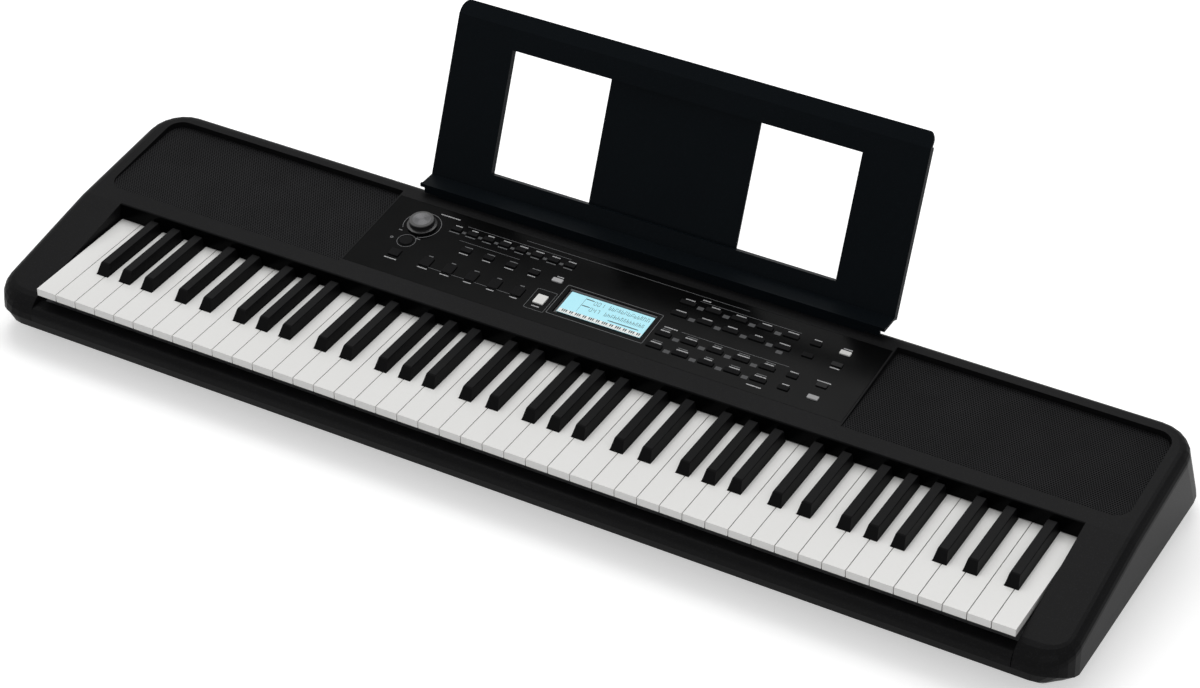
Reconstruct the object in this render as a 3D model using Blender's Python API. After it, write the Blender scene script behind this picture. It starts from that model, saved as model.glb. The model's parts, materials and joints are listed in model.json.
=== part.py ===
"""A portable keyboard with 76 full-size keys, as an assembly of separate pieces.

The pieces are modelled in the keys' own frame, in metres: X runs to the right from the
middle of the keyboard, Y runs back from the front edge of the white keys, and Z rises from
the top of the white keys. An empty carries that frame to the row's origin, which is on the
floor under the middle of the whole object.
"""

import math

import bmesh
import bpy
from mathutils import Matrix, Vector

# Keys
key_pitch = 0.0235
key_gap = 0.0010
white_thickness = 0.0080
white_head_length = 0.0496
black_setback = 0.0009
black_front_slope = 0.0070
black_height = 0.0112
black_foot_width = 0.0136
black_top_width = 0.0092
black_visible_end = 0.1420
black_slot_side_gap = 0.0005
tail_end = 0.2040
tail_width = 0.0090
black_tail_width = 0.0060
tail_drop = 0.0010
neck_end = 0.1500
key_wall = 0.0015
key_draft = 0.0003
black_bottom = -0.0060
black_edge = 0.0008
first_note = 2
white_count = 45
note_names = "CDEFGAB"
black_offsets = {"C": -0.0025, "D": 0.0035, "F": -0.0035, "G": 0.0, "A": 0.0033}
pivot_back = 0.2000
pivot_drop = 0.0050
comb_bar_size = 0.0050
comb_bar_thickness = 0.0030
comb_bar_drop = 0.0120
comb_bar_starts = {"dfa": 0.1600, "cegb": 0.1750, "black": 0.1890}

# Case outline, seen from above
case_width = 1.164
case_side_draft = 0.0005
case_front = -0.0120
case_rear_top = 0.3070
case_rear_bottom = 0.3400
front_corner_radius = 0.0350
rear_corner_radius = 0.0400
case_wall = 0.0025
piece_gap = 0.0003

# Case heights
key_height = 0.0660
deck_front = 0.1466
deck_front_height = 0.0165
deck_tilt = math.radians(6.0)
cheek_slope = 0.191
side_rounding = 0.0110
nose_rounding = 0.0180
parting_front = -0.0330
parting_side = -0.0470
parting_run = 0.0400
tub_floor = -0.0600
tub_front_inset = 0.0040
tub_side_inset = 0.0130
tub_floor_inset = 0.0220
tub_shoulder = 0.0110
tub_lip_inset = 0.0010
parting_gap = 0.0006
foot_height = 0.0057
foot_edge = 0.0010

# Key well, key slip and fallboard
well_side_gap = 0.0020
well_back = 0.1476
fallboard_foot = 0.1430
fallboard_clearance = 0.0009
fallboard_top_thickness = 0.0009
fallboard_edge_rounding = 0.0006
slip_height = -0.0190
slip_rounding = 0.0080
slip_back = 0.0080
slip_side_room = 0.0014

# Control panel, in the tilted plane of the deck. U runs along X and V up the slope from the deck's front edge
panel_half_width = 0.2760
panel_front = 0.0243
panel_back = 0.1360
panel_thickness = 0.0025
seat_width = 0.0050
seat_thickness = 0.0032
display_middle = 0.0016
display_level = 0.0648
display_width = 0.0970
display_depth = 0.0390
window_thickness = 0.0012
module_border = 0.0040
board_drop = 0.0063
board_side_room = 0.0020

# Speaker grilles and speakers
grille_inner_edge = 0.2783
grille_outer_edge = 0.5610
grille_front = 0.0200
grille_back = 0.1430
grille_corner_radius = 0.0160
grille_tilt = math.radians(3.5)
grille_front_recess = 0.0012
grille_thickness = 0.0020
speaker_place = (0.4200, 0.0700)
speaker_half_flange = 0.0430
speaker_flange_thickness = 0.0025
speaker_cone_radius = 0.0390
speaker_depth = 0.0340
speaker_corner_radius = 0.0080
speaker_rim_depth = 0.0020
speaker_surround = 0.0040
cone_depth = 0.0120
dust_cap_radius = 0.0120
dust_cap_rise = 0.0030
magnet_radius = 0.0240
magnet_height = 0.0120

# Buttons: columns of U and rows of V on the panel
small_cap = (0.0112, 0.0054)
large_cap = (0.0114, 0.0130)
demo_cap = (0.0115, 0.0100)
cap_rise = 0.0012
cap_hole_gap = 0.0004
cap_corner_radius = 0.0006
button_travel = 0.0008
power_travel = 0.0012
wide_cap = (0.0164, 0.0054)
button_web_thickness = 0.0014
button_web_margin = 0.0022
upper_rows = (0.1133, 0.0948)
lower_rows = (0.0622, 0.0433)
number_columns = [0.0674 + 0.02805 * i for i in range(5)]
cluster_columns = (0.2062, 0.2374)
category_columns = [-0.1961 + 0.01875 * i for i in range(8)]
style_columns = [-0.1970 + 0.02635 * i for i in range(5)]
function_columns = [-0.1701 + 0.0261 * i for i in range(4)]
category_row = 0.1133
function_row = 0.0882
transport_row = 0.0560
power_place = (-0.2332, 0.0760)
power_radius = 0.0070
power_edge = 0.0006
demo_place = (-0.2336, 0.0552)
tempo_place = (-0.0646, 0.0875)
start_place = (-0.0652, 0.0550)

# Volume control
knob_place = (-0.2315, 0.1040)
knob_skirt_radius = 0.0155
knob_cap_radius = 0.0130
knob_height = 0.0080
knob_skirt_height = 0.0020
knob_edge = 0.0006
knob_dish = 0.0003
shaft_radius = 0.0030
shaft_height = 0.0055
potentiometer_half_width = 0.0080

# Music rest
rest_half_width = 0.2610
rest_lean = math.radians(21.3)
rest_foot_front = 0.3170
shelf_height = 0.0420
shelf_front = 0.2945
shelf_thickness = 0.0025
lip_rise = 0.0014
rest_fold_height = 0.1700
rest_lip_length = 0.0165
rest_lip_bend = math.radians(24.0)
rest_depth = 0.0075
rest_skin = 0.0022
rest_corner_radius = 0.0120
rest_front_half_width = 0.2560
rest_front_clearance = 0.0010
rest_window_inner = 0.0830
rest_window_outer = 0.1940
rest_window_low = 0.0180
rest_window_high = 0.1480
tab_half_width = 0.2400
tab_bottom = 0.0160
rest_travel = 0.0400

# Jacks in the bay of the rear wall
bay_half_width = 0.0760
bay_top = -0.0020
bay_bottom = -0.0300
bay_wall = 0.3145
jack_height = -0.0150
jack_bore_radius = 0.00325
jack_bush_radius = 0.0055
jack_half_width = 0.0080
jack_half_height = 0.0068
jack_length = 0.0300
socket_half_height = 0.0055
usb_half_width = 0.0060
usb_length = 0.0160
usb_cavity = (0.0043, 0.0039)
dc_half_width = 0.0055
dc_length = 0.0140
dc_bore_radius = 0.0032
contact_radius = 0.0011
contact_setback = 0.0030
headphone_x = -0.0500
pedal_x = -0.0160
usb_x = 0.0200
dc_x = 0.0520

# Inside
board_thickness = 0.0016
chassis_top = -0.0220
chassis_thickness = 0.0025
chassis_front = 0.0100
chassis_back = 0.2080
chassis_half_width = 0.5290
pivot_rail_depth = 0.0080
contact_front = 0.1050
contact_depth = 0.0350
chassis_rail_margin = 0.0040
contact_rib_height = 0.0027
contact_rib_width = 0.0040
post_size = 0.0080
chassis_post_columns = (0.102, 0.306, 0.510)
chassis_post_rows = (0.024, 0.190)
main_board_left = -0.1200
main_board_right = 0.1800
main_board_front = 0.2150
main_board_back = 0.3100
board_level = jack_height - jack_half_height - 0.0003
board_chips = ((-0.0200, 0.2450, 0.0120, 0.0025), (0.0600, 0.2500, 0.0090, 0.0025), (0.1300, 0.2700, 0.0120, 0.0100))

# Battery bay under the floor
battery_middle = (-0.2300, 0.2500)
battery_bay_size = (0.1060, 0.0460)
battery_bay_height = 0.0170
battery_lip = 0.0030
door_thickness = 0.0022

# Feet
foot_radius = 0.0100
foot_places = {
    "front_left": (-0.500, 0.040),
    "front_right": (0.500, 0.040),
    "rear_left": (-0.500, 0.290),
    "rear_right": (0.500, 0.290),
}

corner_steps = 6
rounding_steps = 5
turn_steps = 32


def clear_scene():
    for old in list(bpy.data.objects):
        bpy.data.objects.remove(old)


def make_material(name, colour, roughness, metallic=0.0):
    material = bpy.data.materials.new(name)
    material.use_nodes = True
    shader = material.node_tree.nodes["Principled BSDF"]
    shader.inputs["Base Color"].default_value = (*colour, 1.0)
    shader.inputs["Roughness"].default_value = roughness
    shader.inputs["Metallic"].default_value = metallic
    return material


def object_of(name, shape):
    """A scene object that takes over a bmesh."""
    mesh = bpy.data.meshes.new(name)
    shape.to_mesh(mesh)
    shape.free()
    made = bpy.data.objects.new(name, mesh)
    bpy.context.scene.collection.objects.link(made)
    return made


def add_box(shape, low, high):
    corners = [
        shape.verts.new((x, y, z)) for z in (low[2], high[2]) for y in (low[1], high[1]) for x in (low[0], high[0])
    ]
    for face in ((0, 2, 3, 1), (4, 5, 7, 6), (0, 1, 5, 4), (2, 6, 7, 3), (0, 4, 6, 2), (1, 3, 7, 5)):
        shape.faces.new([corners[i] for i in face])


def box(name, low, high):
    shape = bmesh.new()
    add_box(shape, low, high)
    return object_of(name, shape)


def boxes(name, pairs):
    shape = bmesh.new()
    for low, high in pairs:
        add_box(shape, low, high)
    return object_of(name, shape)


def add_prism(shape, outline, start, end, axis):
    """Adds a closed prism of a flat outline between two places on an axis: 0 is X, 1 is Y and 2 is Z."""

    def place(point, along):
        point = list(point)
        point.insert(axis, along)
        return point

    lower = [shape.verts.new(place(point, start)) for point in outline]
    upper = [shape.verts.new(place(point, end)) for point in outline]
    sides = [shape.faces.new(lower[::-1]), shape.faces.new(upper)]
    for i in range(len(outline)):
        j = (i + 1) % len(outline)
        sides.append(shape.faces.new((lower[i], lower[j], upper[j], upper[i])))
    bmesh.ops.recalc_face_normals(shape, faces=sides)


def prism(name, outline, start, end, axis):
    shape = bmesh.new()
    add_prism(shape, outline, start, end, axis)
    return object_of(name, shape)


def circle(radius, middle=(0.0, 0.0), steps=turn_steps):
    angles = [2 * math.pi * i / steps for i in range(steps)]
    return [(middle[0] + radius * math.cos(a), middle[1] + radius * math.sin(a)) for a in angles]


def rounded_rectangle(low, high, radii, steps=corner_steps):
    """Outline with its own radius at each corner: low left, low right, high right, high left."""
    corners = (
        ((low[0], low[1]), (1, 1), math.pi),
        ((high[0], low[1]), (-1, 1), 1.5 * math.pi),
        ((high[0], high[1]), (-1, -1), 0.0),
        ((low[0], high[1]), (1, -1), 0.5 * math.pi),
    )
    outline = []
    for (corner, inward, start), radius in zip(corners, radii):
        if radius == 0:
            outline.append(corner)
            continue
        middle = (corner[0] + inward[0] * radius, corner[1] + inward[1] * radius)
        for i in range(steps + 1):
            angle = start + 0.5 * math.pi * i / steps
            outline.append((middle[0] + radius * math.cos(angle), middle[1] + radius * math.sin(angle)))
    return outline


def turned(name, profile, steps=turn_steps):
    """A closed solid of revolution about Z. The profile runs from the axis at the top to the axis at the bottom."""
    shape = bmesh.new()
    rings = []
    for radius, height in profile:
        if radius == 0:
            rings.append([shape.verts.new((0, 0, height))])
        else:
            rings.append([shape.verts.new((x, y, height)) for x, y in circle(radius, steps=steps)])
    for upper, lower in zip(rings, rings[1:]):
        for i in range(steps):
            j = (i + 1) % steps
            if len(upper) == 1:
                shape.faces.new((upper[0], lower[i], lower[j]))
            elif len(lower) == 1:
                shape.faces.new((upper[j], upper[i], lower[0]))
            else:
                shape.faces.new((upper[j], upper[i], lower[i], lower[j]))
    bmesh.ops.recalc_face_normals(shape, faces=shape.faces)
    return object_of(name, shape)


def combine(target, tool, operation):
    """Cuts or joins the target with the tool for good, and removes the tool."""
    modifier = target.modifiers.new(operation, "BOOLEAN")
    modifier.operation = operation
    modifier.solver = "EXACT"
    modifier.object = tool
    graph = bpy.context.evaluated_depsgraph_get()
    result = bpy.data.meshes.new_from_object(target.evaluated_get(graph))
    target.modifiers.clear()
    target.data = result
    bpy.data.objects.remove(tool)
    return target


def cut(target, tool):
    return combine(target, tool, "DIFFERENCE")


def join(target, tool):
    return combine(target, tool, "UNION")


def tilt(made, tilt_angle, origin):
    """Carries a shape from the plane Z = 0 to a plane tilted about X through the origin point."""
    made.data.transform(Matrix.Translation(origin) @ Matrix.Rotation(tilt_angle, 4, "X"))
    return made


deck_origin = Vector((0.0, deck_front, deck_front_height))
deck_up = Vector((0.0, -math.sin(deck_tilt), math.cos(deck_tilt)))


def on_deck(made):
    """From U, V and the height over the deck to the keys' frame."""
    return tilt(made, deck_tilt, deck_origin)


def deck_point(u, v, height=0.0):
    along = Vector((u, v * math.cos(deck_tilt), v * math.sin(deck_tilt)))
    return deck_origin + along + deck_up * height


grille_origin = deck_point(0.0, grille_front, -grille_front_recess)


def on_grille(made):
    """The same for the grilles' plane, which starts at their front edge."""
    return tilt(made, grille_tilt, grille_origin)


def finish(made, name, material, pivot=(0.0, 0.0, 0.0), smooth=True):
    """Names the piece, puts its origin on its joint and hangs it on the keyboard's empty."""
    made.name = name
    made.data.name = name
    made.data.transform(Matrix.Translation(-Vector(pivot)))
    made.location = pivot
    made.parent = keyboard
    made.data.materials.clear()
    made.data.materials.append(material)
    if smooth:
        made.data.shade_smooth()
        made.data.set_sharp_from_angle(angle=math.radians(30))
    return made


def deck_height(y):
    """Height of the case's top surface: the sloping cheeks, then the flatter deck behind the keys."""
    if y < deck_front:
        return deck_front_height - cheek_slope * (deck_front - y)
    return deck_front_height + math.tan(deck_tilt) * (y - deck_front)


def parting_height(y):
    """Height of the line where the two case halves meet, which dips from the front round to the sides."""
    share = min(max((y - case_front) / parting_run, 0.0), 1.0)
    return parting_front + (parting_side - parting_front) * share * share * (3 - 2 * share)


def case_outline(rear, half_width, inset=0.0):
    """Right half of the outline from the front to the back, as points with their outward normals."""
    side_places = (0.08, deck_front, 0.20)
    front_radius = front_corner_radius - inset
    rear_radius = rear_corner_radius - inset
    right = half_width - inset
    front = case_front + inset
    back = rear - inset
    points = []
    for i in range(corner_steps + 1):
        angle = -0.5 * math.pi + 0.5 * math.pi * i / corner_steps
        normal = (math.cos(angle), math.sin(angle))
        middle = (right - front_radius, front + front_radius)
        points.append((middle[0] + front_radius * normal[0], middle[1] + front_radius * normal[1], normal))
    for y in side_places:
        points.append((right, y, (1.0, 0.0)))
    for i in range(corner_steps + 1):
        angle = 0.5 * math.pi * i / corner_steps
        normal = (math.cos(angle), math.sin(angle))
        middle = (right - rear_radius, back - rear_radius)
        points.append((middle[0] + rear_radius * normal[0], middle[1] + rear_radius * normal[1], normal))
    return points


def loft(name, levels):
    """Closes a stack of mirrored half outlines into one solid, with ladders of flat faces at both ends."""
    shape = bmesh.new()
    rings = []
    for level in levels:
        right = [shape.verts.new(point) for point in level]
        left = [shape.verts.new((-point[0], point[1], point[2])) for point in level]
        rings.append((right, left))
    for lower, upper in zip(rings, rings[1:]):
        for a, b in zip(lower, upper):
            for i in range(len(a) - 1):
                shape.faces.new((a[i], a[i + 1], b[i + 1], b[i]))
        shape.faces.new((lower[0][0], upper[0][0], upper[1][0], lower[1][0]))
        shape.faces.new((lower[0][-1], upper[0][-1], upper[1][-1], lower[1][-1]))
    for right, left in (rings[0], rings[-1]):
        for i in range(len(right) - 1):
            shape.faces.new((right[i], right[i + 1], left[i + 1], left[i]))
    bmesh.ops.recalc_face_normals(shape, faces=shape.faces)
    return object_of(name, shape)


def rim_level(inset, turn):
    """One level of the rounded rim. Turn runs from 0 on the side wall to a quarter turn on the top."""
    level = []
    for x, y, normal in case_outline(case_rear_top, 0.5 * case_width - case_side_draft, inset):
        frontness = max(-normal[1], 0.0) ** 2
        radius = side_rounding + (nose_rounding - side_rounding) * frontness - inset
        x -= normal[0] * radius * (1 - math.cos(turn))
        y -= normal[1] * radius * (1 - math.cos(turn))
        level.append((x, y, deck_height(y) - inset - radius * (1 - math.sin(turn))))
    return level


def case_block(name, inset, foot=None):
    """The upper case as a solid block, drawn in by an inset and carried down to a flat foot if one is given."""
    outline = case_outline(case_rear_bottom, 0.5 * case_width, inset)
    levels = [[(x, y, parting_height(y)) for x, y, normal in outline]]
    if foot is not None:
        levels.insert(0, [(x, y, foot) for x, y, normal in outline])
    levels += [rim_level(inset, 0.5 * math.pi * i / rounding_steps) for i in range(rounding_steps + 1)]
    return loft(name, levels)


well_half_width = 0.5 * white_count * key_pitch + well_side_gap
beyond = 0.1


def grille_outline(side, growth, inner_growth=None):
    """Outline of a speaker grille in its own plane. Side is -1 on the left and 1 on the right."""
    inner_growth = growth if inner_growth is None else inner_growth
    length = grille_back - grille_front
    inner = side * (grille_inner_edge - inner_growth)
    outer = side * (grille_outer_edge + growth)
    radius = grille_corner_radius + growth
    low = (min(inner, outer), -growth)
    high = (max(inner, outer), length + growth)
    radii = (radius, 0, 0, radius) if side < 0 else (0, radius, radius, 0)
    return rounded_rectangle(low, high, radii)


def panel_outline(growth):
    low = (-panel_half_width - growth, panel_front - growth)
    high = (panel_half_width + growth, panel_back + growth)
    return rounded_rectangle(low, high, (0, 0, 0, 0))


def make_upper_case(material):
    case = case_block("upper_case", 0.0)
    hollow = case_block("hollow", case_wall, tub_floor)

    # Material that the hollow leaves standing: well walls, seats, the slot of the music rest and the jack bay
    wall_outer = well_half_width + case_wall
    cut(hollow, box("well_back", (-wall_outer, -beyond, fallboard_clearance), (wall_outer, well_back + case_wall, beyond)))
    for side in (-1, 1):
        ends = sorted((side * well_half_width, side * wall_outer))
        cut(hollow, box("well_side", (ends[0], -beyond, -beyond), (ends[1], well_back + case_wall, beyond)))
    seat_floor = -panel_thickness - piece_gap - seat_thickness
    cut(hollow, on_deck(prism("panel_seat", panel_outline(seat_width), seat_floor, beyond, 2)))
    grille_floor = -grille_thickness - piece_gap
    for side in (-1, 1):
        seat = prism("grille_seat", grille_outline(side, 0.003), grille_floor - seat_thickness, beyond, 2)
        cut(hollow, on_grille(seat))
    slot_front = shelf_front - piece_gap
    slot_back = shelf_front + shelf_thickness + piece_gap
    slot_half_width = tab_half_width + piece_gap
    slot_low = (-slot_half_width - case_wall, slot_front - case_wall, tab_bottom - case_wall)
    slot_high = (slot_half_width + case_wall, slot_back + case_wall, beyond)
    cut(hollow, box("slot_block", slot_low, slot_high))
    bay_outer = bay_half_width + case_wall
    bay_low = (-bay_outer, bay_wall - case_wall, bay_bottom - case_wall)
    cut(hollow, box("bay_block", bay_low, (bay_outer, 0.4, bay_top + case_wall)))
    cut(case, hollow)

    # Openings in that material
    cut(case, box("well", (-well_half_width, -beyond, -beyond), (well_half_width, well_back, beyond)))
    cut(case, on_deck(prism("panel_pocket", panel_outline(piece_gap), -panel_thickness - piece_gap, beyond, 2)))
    cut(case, on_deck(prism("panel_window", panel_outline(-seat_width), -0.03, beyond, 2)))
    for side in (-1, 1):
        cut(case, on_grille(prism("grille_pocket", grille_outline(side, piece_gap), grille_floor, beyond, 2)))
        cut(case, on_grille(prism("grille_window", grille_outline(side, -seat_width), -0.03, beyond, 2)))
    cut(case, box("slot", (-slot_half_width, slot_front, tab_bottom - piece_gap), (slot_half_width, slot_back, beyond)))
    cut(case, box("bay", (-bay_half_width, bay_wall, bay_bottom), (bay_half_width, 0.4, bay_top)))
    holes = bmesh.new()
    for x in (headphone_x, pedal_x):
        add_prism(holes, circle(jack_bush_radius + piece_gap, (x, jack_height), 16), 0.30, 0.33, 1)
    for x, half_width in ((usb_x, usb_half_width), (dc_x, dc_half_width)):
        reach = (half_width + piece_gap, socket_half_height + piece_gap)
        low = (x - reach[0], 0.30, jack_height - reach[1])
        add_box(holes, low, (x + reach[0], 0.33, jack_height + reach[1]))
    cut(case, object_of("jack_holes", holes))
    return finish(case, "upper_case", material)


def tub_level(side_inset, front_inset, height):
    level = []
    for x, y, normal in case_outline(case_rear_bottom, 0.5 * case_width):
        frontness = max(-normal[1], 0.0) ** 2
        inset = side_inset + (front_inset - side_inset) * frontness
        level.append((x - normal[0] * inset, y - normal[1] * inset, height(y)))
    return level


def make_lower_case(material):
    wall = case_wall
    case = loft("lower_case", [
        tub_level(tub_floor_inset, tub_floor_inset, lambda y: tub_floor),
        tub_level(tub_side_inset, tub_front_inset, lambda y: parting_height(y) - tub_shoulder),
        tub_level(tub_lip_inset, tub_lip_inset, lambda y: parting_height(y) - parting_gap),
    ])
    cut(case, loft("tub_hollow", [
        tub_level(tub_floor_inset + wall, tub_floor_inset + wall, lambda y: tub_floor + wall),
        tub_level(tub_side_inset + wall, tub_front_inset + wall, lambda y: parting_height(y) - tub_shoulder + wall),
        tub_level(tub_lip_inset + wall, tub_lip_inset + wall, lambda y: parting_height(y) - parting_gap),
        tub_level(tub_lip_inset + wall, tub_lip_inset + wall, lambda y: beyond),
    ]))

    # Posts under the key chassis and the main board, and the battery bay's walls
    foot = tub_floor + 0.5 * wall
    pairs = []
    chassis_bottom = chassis_top - chassis_thickness - piece_gap
    for x in chassis_post_columns:
        for y in chassis_post_rows:
            for side in (-1, 1):
                pairs.append((side * x, y, chassis_bottom))
    for x in (main_board_left + post_size, main_board_right - post_size):
        for y in (main_board_front + post_size, main_board_back - post_size):
            pairs.append((x, y, board_level - board_thickness - piece_gap))
    half = 0.5 * post_size
    posts = [((x - half, y - half, foot), (x + half, y + half, top)) for x, y, top in pairs]
    join(case, boxes("posts", posts))
    low, high = bay_corners(battery_lip + wall)
    roof = tub_floor + door_thickness + battery_bay_height
    join(case, box("bay_walls", (*low, foot), (*high, roof + wall)))
    low, high = bay_corners(0.0)
    cut(case, box("bay", (*low, -beyond), (*high, roof)))
    low, high = bay_corners(battery_lip)
    cut(case, box("door_seat", (*low, -beyond), (*high, tub_floor + door_thickness + piece_gap)))
    return finish(case, "lower_case", material)


def bay_corners(growth):
    """Corners of the battery bay seen from above, grown outwards all round."""
    half = (0.5 * battery_bay_size[0] + growth, 0.5 * battery_bay_size[1] + growth)
    low = (battery_middle[0] - half[0], battery_middle[1] - half[1])
    high = (battery_middle[0] + half[0], battery_middle[1] + half[1])
    return low, high


def make_battery_door(material):
    low, high = bay_corners(battery_lip - piece_gap)
    door = box("battery_door", (*low, tub_floor), (*high, tub_floor + door_thickness))
    return finish(door, "battery_door", material, (*battery_middle, tub_floor), smooth=False)


def make_key_slip(material):
    half_width = 0.5 * white_count * key_pitch + slip_side_room
    top = slip_height
    bottom = parting_front
    wall = case_wall
    outer = [(slip_back, top)]
    inner = []
    for i in range(corner_steps + 1):
        angle = 0.5 * math.pi * (1 + i / corner_steps)
        middle = (case_front + slip_rounding, top - slip_rounding)
        direction = (math.cos(angle), math.sin(angle))
        reach = slip_rounding - wall
        outer.append((middle[0] + slip_rounding * direction[0], middle[1] + slip_rounding * direction[1]))
        inner.append((middle[0] + reach * direction[0], middle[1] + reach * direction[1]))
    outer.append((case_front, bottom))
    inner.append((case_front + wall, bottom))
    profile = [*outer, *reversed(inner), (slip_back, top - wall)]
    return finish(prism("key_slip", profile, -half_width, half_width, 0), "key_slip", material)


def make_fallboard(material):
    half_width = well_half_width - piece_gap
    back = well_back - piece_gap
    top = deck_front_height
    edge = fallboard_edge_rounding
    profile = [
        (fallboard_foot, fallboard_clearance),
        (back - fallboard_top_thickness - edge, top - edge),
        (back - fallboard_top_thickness, top),
        (back, top),
        (back, fallboard_clearance),
    ]
    return finish(prism("fallboard", profile, -half_width, half_width, 0), "fallboard", material)


def cap_outline(place, size, growth=0.0):
    half = (0.5 * size[0] + growth, 0.5 * size[1] + growth)
    low = (place[0] - half[0], place[1] - half[1])
    high = (place[0] + half[0], place[1] + half[1])
    return rounded_rectangle(low, high, [cap_corner_radius + growth] * 4, 2)


def button_groups():
    """Each group of buttons on one moulded web: name, cap size and the caps' places."""
    sound_upper = [(u, v) for v in upper_rows for u in number_columns]
    sound_lower = [(u, v) for v in lower_rows for u in number_columns]
    return [
        ("category_buttons", small_cap, [(u, category_row) for u in category_columns]),
        ("function_buttons", small_cap, [(u, function_row) for u in function_columns]),
        ("tempo_button", small_cap, [tempo_place]),
        ("style_buttons", large_cap, [(u, transport_row) for u in style_columns]),
        ("start_button", large_cap, [start_place]),
        ("demo_button", demo_cap, [demo_place]),
        ("sound_buttons_upper", wide_cap, sound_upper),
        ("sound_buttons_lower", wide_cap, sound_lower),
        ("transpose_buttons", small_cap, [(cluster_columns[0], v) for v in upper_rows]),
        ("value_buttons", small_cap, [(cluster_columns[0], v) for v in lower_rows]),
        ("mode_buttons", small_cap, [(cluster_columns[1], v) for v in (*upper_rows, *lower_rows)]),
    ]


def make_control_panel(material):
    panel = prism("control_panel", panel_outline(0.0), -panel_thickness, 0.0, 2)
    holes = bmesh.new()
    for name, size, places in button_groups():
        for place in places:
            add_prism(holes, cap_outline(place, size, cap_hole_gap), -0.01, 0.01, 2)
    add_prism(holes, circle(power_radius + cap_hole_gap, power_place, 24), -0.01, 0.01, 2)
    add_prism(holes, circle(shaft_radius + cap_hole_gap, knob_place, 16), -0.01, 0.01, 2)
    add_prism(holes, display_outline(0.0), -0.01, 0.01, 2)
    cut(panel, object_of("panel_holes", holes))
    return finish(on_deck(panel), "control_panel", material, smooth=False)


def display_outline(growth):
    half = (0.5 * display_width + growth, 0.5 * display_depth + growth)
    low = (display_middle - half[0], display_level - half[1])
    high = (display_middle + half[0], display_level + half[1])
    return rounded_rectangle(low, high, (0, 0, 0, 0))


def make_display(window_material, module_material):
    outline = display_outline(-piece_gap)
    window = prism("display_window", outline, -panel_thickness, window_thickness - panel_thickness, 2)
    finish(on_deck(window), "display_window", window_material, smooth=False)
    top = -panel_thickness - piece_gap
    module = prism("display_module", display_outline(module_border), piece_gap - board_drop, top, 2)
    finish(on_deck(module), "display_module", module_material, smooth=False)


def make_buttons(materials):
    top = -panel_thickness - piece_gap
    for name, size, places in button_groups():
        columns = [place[0] for place in places]
        rows = [place[1] for place in places]
        reach = (0.5 * size[0] + button_web_margin, 0.5 * size[1] + button_web_margin)
        low = (min(columns) - reach[0], min(rows) - reach[1])
        high = (max(columns) + reach[0], max(rows) + reach[1])
        web = box(name, (*low, top - button_web_thickness), (*high, top))
        caps = bmesh.new()
        for place in places:
            add_prism(caps, cap_outline(place, size), top - 0.5 * button_web_thickness, cap_rise, 2)
        join(web, object_of("caps", caps))
        middle = deck_point(0.5 * (low[0] + high[0]), 0.5 * (low[1] + high[1]))
        finish(on_deck(web), name, materials.get(name, materials["plain"]), middle, smooth=False)


def make_power_button(material):
    top = -panel_thickness - piece_gap
    flange = power_radius + button_web_margin
    button = turned("power_button", [
        (0, cap_rise),
        (power_radius - power_edge, cap_rise),
        (power_radius, cap_rise - power_edge),
        (power_radius, top),
        (flange, top),
        (flange, top - button_web_thickness),
        (0, top - button_web_thickness),
    ], 24)
    button.data.transform(Matrix.Translation((*power_place, 0.0)))
    return finish(on_deck(button), "power_button", material, deck_point(*power_place))


def make_volume_control(knob_material, part_material):
    clearance = piece_gap
    knob = turned("volume_knob", [
        (0, knob_height - knob_dish),
        (knob_cap_radius - 3 * knob_edge, knob_height),
        (knob_cap_radius - knob_edge, knob_height),
        (knob_cap_radius, knob_height - knob_edge),
        (knob_cap_radius, knob_skirt_height + knob_edge),
        (knob_skirt_radius, knob_skirt_height),
        (knob_skirt_radius, clearance),
        (shaft_radius + clearance, clearance),
        (shaft_radius + clearance, shaft_height + clearance),
        (0, shaft_height + clearance),
    ], 40)
    knob.data.transform(Matrix.Translation((*knob_place, 0.0)))
    finish(on_deck(knob), "volume_knob", knob_material, deck_point(*knob_place))

    half = potentiometer_half_width
    low = (knob_place[0] - half, knob_place[1] - half, piece_gap - board_drop)
    high = (knob_place[0] + half, knob_place[1] + half, -panel_thickness - piece_gap)
    body = box("volume_potentiometer", low, high)
    shaft_foot = 0.5 * (low[2] + high[2])
    join(body, prism("shaft", circle(shaft_radius, knob_place, 16), shaft_foot, shaft_height, 2))
    finish(on_deck(body), "volume_potentiometer", part_material, deck_point(*knob_place))


def make_grille(side, name, material):
    grille = prism(name, grille_outline(side, 0.0), -grille_thickness, 0.0, 2)
    return finish(on_grille(grille), name, material, smooth=False)


def make_speaker(side, name, material):
    top = -grille_thickness - piece_gap
    under = top - speaker_flange_thickness
    foot = top - speaker_depth
    reach = speaker_half_flange
    place = (side * speaker_place[0], speaker_place[1])
    low = (place[0] - reach, place[1] - reach)
    high = (place[0] + reach, place[1] + reach)
    corners = [speaker_corner_radius] * 4
    speaker = prism(name, rounded_rectangle(low, high, corners, 3), under, top, 2)
    body = turned("speaker_body", [
        (0, 0.5 * (top + under)),
        (speaker_cone_radius, 0.5 * (top + under)),
        (speaker_cone_radius, under - speaker_rim_depth),
        (magnet_radius, foot + magnet_height),
        (magnet_radius, foot),
        (0, foot),
    ], 24)
    body.data.transform(Matrix.Translation((*place, 0.0)))
    join(speaker, body)
    dish = turned("cone", [
        (0, top + piece_gap),
        (speaker_cone_radius - speaker_surround, top + piece_gap),
        (speaker_cone_radius - speaker_surround, top - speaker_flange_thickness),
        (dust_cap_radius, top - cone_depth),
        (0, top - cone_depth + dust_cap_rise),
    ], 24)
    dish.data.transform(Matrix.Translation((*place, 0.0)))
    cut(speaker, dish)
    return finish(on_grille(speaker), name, material)


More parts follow.
